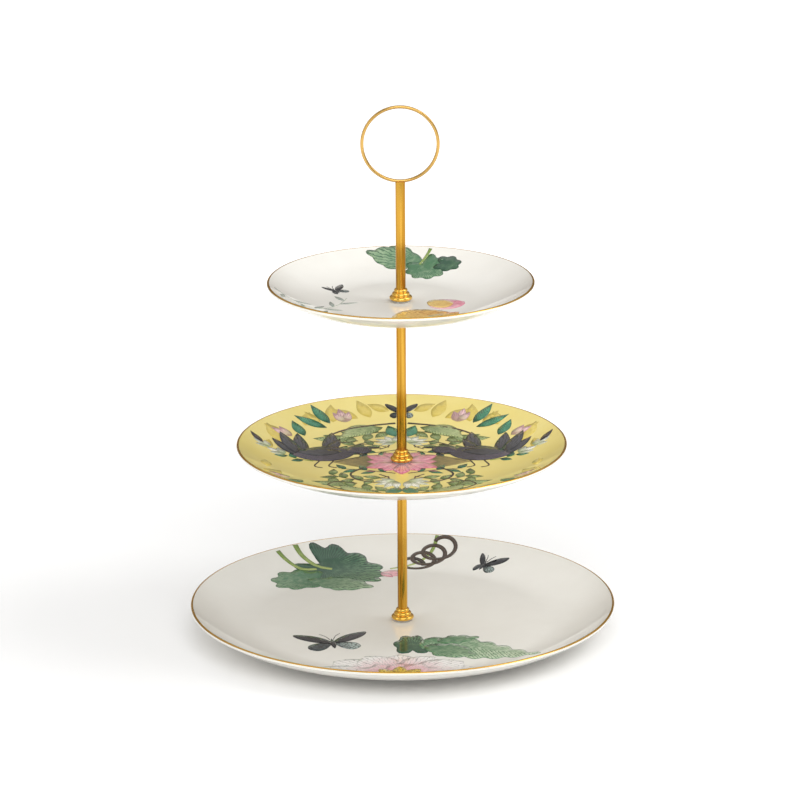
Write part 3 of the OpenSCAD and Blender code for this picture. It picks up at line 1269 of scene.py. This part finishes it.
print("a print reaches", PRINT_SINK, "mm into the glaze")

# %% [markdown]
# A painted line is a stroke of a loaded brush: a narrow strip with a slightly raised middle. It could be
# a curve with a bevel, but a round bevel would stand far too proud of the glaze. Each corner of the
# strip is a side of the line and a height, and the corners without a height are the sunk underside.

# %% Laying a painted line
LINE_CROWN = 0.01
STRIP = ((1, 0), (0, LINE_CROWN), (-1, 0), (-1, None), (1, None))


def lay_stem(bm, maps, plate, entry, lift):
    """Lays a painted line on the plate as a closed thin strip, cut off at the rim."""
    limit = plate.rim - RIM_MARGIN
    path = [p for p in entry["path"] if math.hypot(*p) < limit]
    run, rows, number = 0.0, [], {}
    for i, (x, y) in enumerate(path):
        ahead, behind = Vector(path[min(i + 1, len(path) - 1)]), Vector(path[max(i - 1, 0)])
        along, share = (ahead - behind).normalized(), i / (len(path) - 1)
        half_width = entry["width"] / 2 * (1 + (entry["taper"] - 1) * share)
        run += math.dist(path[i], path[i - 1]) if i else 0.0
        row = []
        for side, height in STRIP:
            rise = -PRINT_SINK if height is None else lift + height + entry["climb"] * share
            place = (x - along.y * half_width * side, y + along.x * half_width * side)
            row.append(bm.verts.new(on_plate(plate, *place, rise)))
            number[row[-1]] = (run, side * half_width)
        rows.append(row)
    faces = [bm.faces.new(rows[0]), bm.faces.new(list(reversed(rows[-1])))]
    for low, high in zip(rows, rows[1:]):
        for k in range(len(STRIP)):
            after = (k + 1) % len(STRIP)
            faces.append(bm.faces.new([low[after], low[k], high[k], high[after]]))
    for corner in [corner for face in faces for corner in face.loops]:
        corner[maps[0]].uv = number[corner.vert]
        corner[maps[1]].uv = (1.0, 0.0)


print("a painted line has", len(STRIP), "corners in its section")

# %% [markdown]
# The book is laid plate by plate and finish by finish. Two motifs on the same layer would flicker where
# they cross, so each is laid a hair higher than the one before it, and the rise starts again after every
# forty motifs.

# %% Laying the book
PRINT_LIFT = 0.05
PRINT_LAYER = 0.02
PRINT_ORDER = 0.0004
ORDERS = 40


def lay_book(finishes):
    """Makes one piece for each plate and finish in the book."""
    order = 0
    for (size, finish), entries in motif_book.items():
        plate, bm = PLATES[size], bmesh.new()
        maps = (bm.loops.layers.uv.new("drawing"), bm.loops.layers.uv.new("edge"))
        for entry in entries:
            order += 1
            lift = PRINT_LIFT + PRINT_LAYER * entry["layer"] + PRINT_ORDER * (order % ORDERS)
            (lay_stem if "path" in entry else lay_cut)(bm, maps, plate, entry, lift)
        piece = link_piece("print_" + size + "_" + finish, bm, [finishes[finish]])
        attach(piece, body_of[plate.node])
    print("printed pieces:", len(motif_book), "from", order, "motifs")


print("a print stands", PRINT_LIFT, "mm above the glaze, and each layer adds", PRINT_LAYER, "mm")

# %% [markdown]
# ### Colours of the prints
# Ceramic colours are metal oxides in glass, printed on a transfer and fired. They are laid like
# watercolour: a wash that pools towards one end, fine engraved lines for veins and feathers, and a
# darker line where the colour stops. They sink into the glaze, so they shine just as it does. First come
# the engraved lines. An engraver's line is about a third of a millimetre wide, which is too fine to
# show here, so the lines are one to five millimetres apart.

# %% Engraved lines
VEIN_SLANT = 0.9
STREAK_HUB = 2.0
STREAK_FAN = 20.0
CELL_CONTRAST = 3.0
WAVER_SIZE = 2.86
WAVER_SHARE = 1.4


def engraved(tree, drawing, style, spacing):
    """How far a point is from the middle of an engraved line, from nought to one."""
    if style == "cells":
        divided = {"Vector": drawing, "Scale": 1 / spacing}
        cells = add_node(tree, "ShaderNodeTexVoronoi", divided, feature="DISTANCE_TO_EDGE")
        sharpened = {0: cells.outputs["Distance"], 1: CELL_CONTRAST}
        return add_node(tree, "ShaderNodeMath", sharpened, operation="MULTIPLY").outputs[0]
    split = add_node(tree, "ShaderNodeSeparateXYZ", {"Vector": drawing})
    along, across = split.outputs["X"], split.outputs["Y"]
    count = across
    if style == "veins":
        off = add_node(tree, "ShaderNodeMath", {0: across}, operation="ABSOLUTE")
        slanted = {0: off.outputs[0], 1: -VEIN_SLANT, 2: along}
        count = add_node(tree, "ShaderNodeMath", slanted, operation="MULTIPLY_ADD").outputs[0]
    if style == "streaks":
        ahead = add_node(tree, "ShaderNodeMath", {0: along, 1: STREAK_HUB}, operation="ADD")
        turn = add_node(tree, "ShaderNodeMath", {0: across, 1: ahead.outputs[0]}, operation="ARCTAN2")
        fanned = {0: turn.outputs[0], 1: STREAK_FAN}
        count = add_node(tree, "ShaderNodeMath", fanned, operation="MULTIPLY").outputs[0]
    waver = add_node(tree, "ShaderNodeTexNoise", {"Vector": drawing, "Scale": 1 / WAVER_SIZE, "Detail": 2.0})
    wavering = {0: waver.outputs["Fac"], 1: WAVER_SHARE * spacing, 2: count}
    drawn = add_node(tree, "ShaderNodeMath", wavering, operation="MULTIPLY_ADD")
    away = add_node(tree, "ShaderNodeMath", {0: drawn.outputs[0], 1: spacing / 2}, operation="PINGPONG")
    share = add_node(tree, "ShaderNodeMath", {0: away.outputs[0], 1: 2 / spacing}, operation="MULTIPLY")
    return share.outputs[0]


print("engraved lines: veins slant by", VEIN_SLANT, "and streaks fan out from a point")

# %% [markdown]
# One recipe then makes every print: the wash, the engraved lines over it, and the darker outline where
# the colour stops. The prints could be painted images, but a recipe in millimetres is sharp at any
# distance and the same on every plate.

# %% The print recipe
WASH_CLOUD = 4.55
LINE_CORE = 0.2
OUTLINE_REACH = 0.3
PRINT_ROUGHNESS = 0.45


def printed(name, near, far, reach, line, style, spacing, share, outline=0.6, mottle=0.6):
    """A printed colour: a wash from near to far over a reach, with lines that cover a share."""
    finish, tree = new_finish(name)
    drawing = add_node(tree, "ShaderNodeUVMap", uv_map="drawing").outputs["UV"]
    along = add_node(tree, "ShaderNodeSeparateXYZ", {"Vector": drawing}).outputs["X"]
    cloud = add_node(tree, "ShaderNodeTexNoise", {"Vector": drawing, "Scale": 1 / WASH_CLOUD, "Detail": 5.0})
    blot = add_node(
        tree, "ShaderNodeMapRange", {"Value": cloud.outputs["Fac"], "To Min": -mottle, "To Max": mottle}
    )
    pooling = {0: along, 1: 1 / reach, 2: blot.outputs[0]}
    run = add_node(tree, "ShaderNodeMath", pooling, operation="MULTIPLY_ADD")
    pool = add_node(tree, "ShaderNodeClamp", {"Value": run.outputs[0]})
    wash = add_node(
        tree,
        "ShaderNodeMix",
        {"Factor": pool.outputs[0], "A": linear(near), "B": linear(far)},
        data_type="RGBA",
    )
    distance = engraved(tree, drawing, style, spacing)
    ink = add_node(
        tree, "ShaderNodeMapRange", {"Value": distance, "From Min": share, "From Max": share * LINE_CORE}
    )
    drawn = add_node(
        tree,
        "ShaderNodeMix",
        {"Factor": ink.outputs[0], "A": wash.outputs["Result"], "B": linear(line)},
        data_type="RGBA",
    )
    edge = add_node(tree, "ShaderNodeUVMap", uv_map="edge").outputs["UV"]
    inside = add_node(tree, "ShaderNodeSeparateXYZ", {"Vector": edge}).outputs["X"]
    border = add_node(
        tree,
        "ShaderNodeMapRange",
        {"Value": inside, "From Max": OUTLINE_REACH, "To Min": outline, "To Max": 0.0},
    )
    outlined = add_node(
        tree,
        "ShaderNodeMix",
        {"Factor": border.outputs[0], "A": drawn.outputs["Result"], "B": linear(line)},
        data_type="RGBA",
    )
    glaze(tree, outlined.outputs["Result"], PRINT_ROUGHNESS)
    return finish


print("a print's wash is mottled over", WASH_CLOUD, "mm")

# %% [markdown]
# A palette of ceramic colours: chrome greens, a manganese brown, gold pinks and a cobalt black. Each row
# gives the colour at the motif's base, the colour at its far end, how many millimetres the change
# takes, the engraver's line colour, the kind of line, the spacing in millimetres, the share of the
# spacing that a line covers, and then how dark the outline is and how mottled the wash.

# %% Print colours
WASHES = {
    "dark_leaf": ("#2C5A3E", "#7FA877", 62, "#163324", "streaks", 2.0, 0.5),
    "mid_leaf": ("#47794F", "#BCD1AA", 72, "#2C573B", "streaks", 1.8, 0.42),
    "pale_leaf": ("#5B8D60", "#D3E0C2", 84, "#335F3E", "veins", 2.8, 0.4, 0.8, 0.8),
    "fresh_leaf": ("#1F6B4B", "#57A67F", 18, "#124530", "veins", 1.8, 0.4),
    "olive_leaf": ("#6F8746", "#CBD697", 34, "#435628", "veins", 2.2, 0.36),
    "shadow_leaf": ("#DCC55C", "#E6D170", 30, "#D8BF55", "veins", 5.0, 0.2, 0.1, 0.9),
    "olive_ray": ("#4E452A", "#B39F58", 40, "#3C3220", "along", 1.2, 0.5, 0.2),
    "pink_petal": ("#F3D3D2", "#DD7F98", 24, "#B9566F", "streaks", 2.0, 0.3, 0.5),
    "blush_petal": ("#D9607F", "#F1EEEA", 36, "#98938F", "streaks", 1.5, 0.2, 0.5, 0.3),
    "white_petal": ("#B9C892", "#F6F3EA", 9, "#7F8C62", "streaks", 2.4, 0.25, 0.4),
    "rose_bud": ("#C9D08A", "#EFC9CB", 9, "#A6707C", "streaks", 2.6, 0.3, 0.6, 0.2),
    "gold_petal": ("#F1D27C", "#D08E33", 46, "#A0661F", "streaks", 2.2, 0.35, 0.6),
    "stamens": ("#D39A12", "#F4D857", 12, "#84560F", "cells", 1.7, 0.45, 0.2),
    "green_stem": ("#7E9A3C", "#C4D27C", 30, "#46601F", "along", 0.9, 0.5),
    "brown_stem": ("#35271C", "#55412F", 60, "#1C130D", "along", 1.0, 0.6),
    "dark_wing": ("#151417", "#45444A", 22, "#0C0B0D", "streaks", 1.8, 0.35),
    "spotted_wing": ("#3A4748", "#B7C8C2", 12, "#1B1D20", "cells", 2.4, 0.4),
    "plumage": ("#2B2631", "#5A5263", 44, "#191620", "veins", 2.0, 0.42),
    "soft_grey": ("#9AA39A", "#CBD0BE", 14, "#7D8880", "veins", 2.0, 0.3, 0.4),
}
PRINTS = {name: printed(name + "_print", *wash) for name, wash in WASHES.items()}
print("print colours:", len(PRINTS))

# %% [markdown]
# ### The motifs
# A butterfly is two pairs of wings on a slim body, and a blossom is a ring of petals. Each is used more
# than once, so each gets a helper. Both are drawn about the origin, and placed when they are used.

# %% Butterflies and blossoms
WING_SPAN = 40
FORE_WING = smooth([(0, 0), (4, 8), (11, 14), (20, 17), (21, 14), (17, 8), (9, 2)], 4)
HIND_WING = smooth([(0, 0), (8, 1), (14, -2), (15, -8), (10, -12), (5, -9), (2, -4)], 4)


def butterfly(size, x, y, heading, span, layer=2, fold=1.0):
    """A butterfly seen from above. fold narrows the wings on its far side."""
    scale = span / WING_SPAN
    for side, share in ((1, 1.0), (-1, fold)):
        for wing, finish, level in ((HIND_WING, "spotted_wing", layer), (FORE_WING, "dark_wing", layer + 1)):
            loop = [(px * share * side, py) for px, py in wing]
            motif(size, finish, loop, x, y, heading, level, scale=scale)
        feeler = [(side, 6), (3 * side * share, 12), (6 * side * share, 16)]
        stem(size, "dark_wing", placed(feeler, x, y, heading, scale), 0.5, layer + 2)
    tail = placed([(0, -9)], x, y, heading, scale)[0]
    leaf(size, "dark_wing", *tail, heading + 90, 0.42 * span, 0.08 * span, layer + 3)


def blossom(size, x, y, petals, finish, layer=1, flip=(1, 1), **form):
    """A blossom: petals are (heading, length, width)."""
    for k, (heading, length, width) in enumerate(petals):
        leaf(size, finish, x, y, heading, length, width, layer + k % 3, flip, **form)


print("butterfly wings are drawn", WING_SPAN, "mm across and scaled when used")

# %% [markdown]
# The bird on the medium plate is nine blades: three tail feathers, two raised wings, a body, a head, a
# beak and a folded wing. Blades keep it as plain as the leaves round it. Each row is the finish, the
# place, the heading, the length, the width and the layer.

# %% Bird
BIRD_BLADES = [
    ("dark_wing", 62, 14, 82, 34, 10, 5),
    ("dark_wing", 64, 13, 66, 34, 10, 6),
    ("dark_wing", 64, 11, 48, 28, 9, 5),
    ("dark_wing", 46, 20, 92, 36, 11, 5),
    ("dark_wing", 48, 20, 108, 28, 8, 6),
    ("plumage", 29, 22, -16, 42, 30, 7),
    ("plumage", 20, 30, -34, 18, 18, 8),
    ("dark_wing", 23, 30, 188, 10, 4, 8),
    ("dark_wing", 38, 22, -8, 30, 15, 9),
]
BIRD_LEGS = (45, 54)


def bird(size, flip):
    """A small dark bird that faces the middle of the plate."""
    for finish, x, y, heading, length, width, layer in BIRD_BLADES:
        leaf(size, finish, x, y, heading, length, width, layer, flip, blunt=0.8)
    for x in BIRD_LEGS:
        stem(size, "brown_stem", [(x, 16), (x - 2, 4), (x + 1, -8), (x - 4, -12)], 1.3, 6, flip)


print("bird:", len(BIRD_BLADES), "blades and", len(BIRD_LEGS), "legs")

# %% [markdown]
# The large plate has scalloped leaves at the back left on stalks, a coiled tendril behind the column,
# lobed leaves at the front right, a broad blossom at the front and two butterflies. Places are in
# millimetres from the plate's middle, with +Y to the back, and headings are in degrees from +X.

# %% Large plate
COIL_TURNS = 3.4
COIL_POINTS = 64
round_leaf("large", "dark_leaf", -48, 98, -24, 66, 50, 1, lobes=11)
round_leaf("large", "mid_leaf", -60, 78, 205, 44, 30, 2, lobes=9)
leaf("large", "mid_leaf", -62, 78, -18, 44, 24, 3, lobes=(9, 1.6), widest=0.55)
stem("large", "green_stem", [(-86, 108), (-76, 98), (-66, 92), (-56, 94)], 3.4, 4)
stem("large", "green_stem", [(-72, 116), (-66, 106), (-56, 98), (-46, 96)], 3.8, 5)
stem("large", "green_stem", [(24, 134), (19, 118), (8, 106), (-8, 99)], 2.6, 0)
coil = []
for k in range(COIL_POINTS):
    share = k / (COIL_POINTS - 1)
    turn = 2 * math.pi * COIL_TURNS * share
    coil.append((5 + 24 * share + 9 * math.cos(turn), 103 + 19 * share + 8 * math.sin(turn)))
stem("large", "brown_stem", coil, 3.2, 2, taper=0.8, climb=0.14, steps=2)
butterfly("large", -44, -44, 8, 44)
butterfly("large", 53, 98, -30, 26, fold=0.5)
blossom("large", -14, 92, [(-20, 17, 8), (8, 16, 7), (-48, 12, 6)], "pink_petal", 3)
leaf("large", "pale_leaf", 12, -42, -21, 76, 30, 2, lobes=(13, 3.6), widest=0.36, bend=-0.03)
leaf("large", "mid_leaf", 22, -42, 18, 26, 13, 3, lobes=(7, 1.8))
round_leaf("large", "dark_leaf", 6, -54, 92, 40, 24, 1, lobes=7)
leaf("large", "mid_leaf", 14, -50, -30, 34, 22, 3, lobes=(7, 2.0), widest=0.5)
OUTER_PETALS = [
    (12, 52, 26),
    (168, 54, 26),
    (34, 48, 28),
    (146, 50, 28),
    (60, 42, 26),
    (120, 43, 27),
    (90, 40, 26),
]
blossom("large", -2, -106, OUTER_PETALS, "blush_petal", 3, widest=0.62, blunt=0.7)
INNER_PETALS = [(25, 30, 20), (155, 30, 20), (55, 27, 18), (125, 27, 18), (90, 24, 18)]
blossom("large", -2, -106, INNER_PETALS, "blush_petal", 6, widest=0.6, blunt=0.7)
for heading in (10, 50, 90, 130, 170):
    leaf("large", "stamens", -2, -108, heading, 20, 9, 9 + heading // 50 % 2, widest=0.6, blunt=0.7)
sprig("large", "green_stem", "soft_grey", [(36, -98), (48, -104), (60, -108)], 12, 6, 3, gap=5)
print("large plate motifs:", motif_count("large"))

# %% [markdown]
# The small plate has leaves at the back, a pink bud and ochre leaves at the front, a small butterfly
# and faint grey sprigs on the left.

# %% Small plate
leaf("small", "mid_leaf", 14, 68, 167, 36, 20, 1, lobes=(9, 1.2))
round_leaf("small", "mid_leaf", 15, 64, -66, 28, 28, 2, lobes=9)
round_leaf("small", "dark_leaf", 27, 64, -24, 20, 15, 3, lobes=7)
stem("small", "green_stem", [(22, 86), (18, 76), (12, 66)], 2.2, 4)
butterfly("small", -41, 22, 35, 20, fold=0.5)
long_sprig = [(-79, -6), (-66, -18), (-54, -24), (-40, -10), (-34, 6)]
sprig("small", "soft_grey", "soft_grey", long_sprig, 12, 3.2, 1)
sprig("small", "soft_grey", "olive_leaf", [(-66, -30), (-54, -34), (-46, -32)], 8, 3, 3, gap=4)
leaf("small", "pink_petal", 19, -16, 34, 25, 22, 2, bend=0.08, blunt=0.6)
leaf("small", "gold_petal", 17, -10, 22, 17, 19, 3, widest=0.42, blunt=0.6)
leaf("small", "gold_petal", -2, -68, 58, 52, 24, 1, bend=-0.06, blunt=0.7)
leaf("small", "gold_petal", -6, -42, 24, 40, 20, 2, bend=0.12, blunt=0.7)
leaf("small", "gold_petal", 12, -44, 36, 30, 15, 3, bend=-0.08, blunt=0.7)
print("small plate motifs:", motif_count("small"))

# %% [markdown]
# The medium plate is patterned like a tile: one quarter is drawn and mirrored to the other three. A
# Mirror modifier would do the same to a mesh, but the prints have to be laid one by one, so each shape is
# mirrored as it is added. Faint leaves in a deeper yellow lie under the quarters near the rim.

# %% Medium plate, the quarters
QUARTERS = [(1, 1), (-1, 1), (1, -1), (-1, -1)]
SHADOWS = [
    (20, 80, 60, 18, 9),
    (28, 78, 20, 17, 8),
    (44, 70, 84, 18, 9),
    (52, 66, 40, 14, 7),
    (76, 30, 62, 22, 10),
    (74, 42, 20, 15, 8),
    (86, 12, 96, 16, 7),
    (62, 60, 100, 16, 8),
    (8, 88, 20, 15, 7),
]
for flip in QUARTERS:
    sprig("medium", "brown_stem", "olive_leaf", [(8, 30), (20, 36), (34, 34), (46, 24)], 12, 6, 1, flip, 5.0)
    sprig("medium", "brown_stem", "olive_leaf", [(3, 62), (16, 60), (30, 52), (42, 44)], 14, 7, 1, flip, 5.5)
    sprig("medium", "brown_stem", "fresh_leaf", [(4, 24), (14, 20), (26, 16), (38, 14)], 11, 5, 1, flip, 6.0)
    leaf("medium", "olive_leaf", 12, 68, -36, 34, 15, 4, flip, bend=0.12)
    leaf("medium", "olive_leaf", 32, 52, -18, 26, 12, 3, flip, bend=-0.1)
    leaf("medium", "fresh_leaf", 2, 52, 70, 20, 10, 3, flip)
    stem("medium", "brown_stem", [(4, 74), (20, 70), (36, 62), (46, 50), (40, 40), (28, 44)], 1.8, 5, flip)
    stem("medium", "brown_stem", [(24, 12), (32, 24), (28, 36), (16, 42), (8, 34), (14, 26)], 1.6, 5, flip)
    white_petals = [(30, 15, 6), (62, 15, 6), (94, 14, 6), (0, 13, 5), (-30, 11, 5)]
    blossom("medium", 4, 40, white_petals, "white_petal", 6, flip)
    blossom("medium", 36, 72, [(70, 14, 7), (100, 12, 6), (44, 12, 6)], "rose_bud", 5, flip)
    leaf("medium", "fresh_leaf", 46, 68, 50, 20, 8, 4, flip)
    leaf("medium", "fresh_leaf", 48, 62, 16, 22, 8, 4, flip)
    leaf("medium", "fresh_leaf", 62, 46, 62, 18, 8, 3, flip)
    blossom("medium", 70, 42, [(16, 14, 7), (44, 12, 6)], "rose_bud", 3, flip)
    for x, y, heading, length, width in SHADOWS:
        leaf("medium", "shadow_leaf", x, y, heading, length, width, 0, flip)
print("each quarter has", len(SHADOWS), "shadow leaves under it")

# %% [markdown]
# In the middle a pink blossom of two rings of petals lies under the collar, on two olive rays. A dark
# bird on each side faces it, over sprays of small white blossoms, and a butterfly sits at the back.

# %% Medium plate, the middle and the birds
HALVES = [(1, 1), (-1, 1)]
PETALS = 12
for heading in (0, 180):
    leaf("medium", "olive_ray", 0, 0, heading, 44, 26, 2, widest=0.4)
for k in range(PETALS):
    leaf("medium", "pink_petal", 0, 0, 360 / PETALS * k, 26 if k % 2 else 22, 11, 7 + k % 2, widest=0.62)
for flip in HALVES:
    bird("medium", flip)
    sprig("medium", "green_stem", "fresh_leaf", [(56, 2), (70, 6), (80, 12)], 9, 5, 2, flip, 5.0)
    blossom("medium", 74, 10, [(20, 13, 6), (60, 10, 5), (-15, 10, 5)], "white_petal", 4, flip)
    blossom("medium", 84, 16, [(30, 12, 5), (70, 9, 5), (-10, 9, 4)], "white_petal", 4, flip)
    leaf("medium", "plumage", 88, 20, 50, 13, 5, 5, flip)
butterfly("medium", 0, 86, 0, 20, 3)
print("medium plate motifs:", motif_count("medium"))

# %% [markdown]
# The book is full, so every motif is laid on its plate. This comes last because a motif may use any
# finish, and the number of motifs is known only now.

# %% Lay every motif
lay_book(PRINTS)

# %% [markdown]
# The visual model has to keep to the size of the mechanical one. The scene is brought up to date and
# handed over.

# %% Finish
bpy.context.view_layer.update()
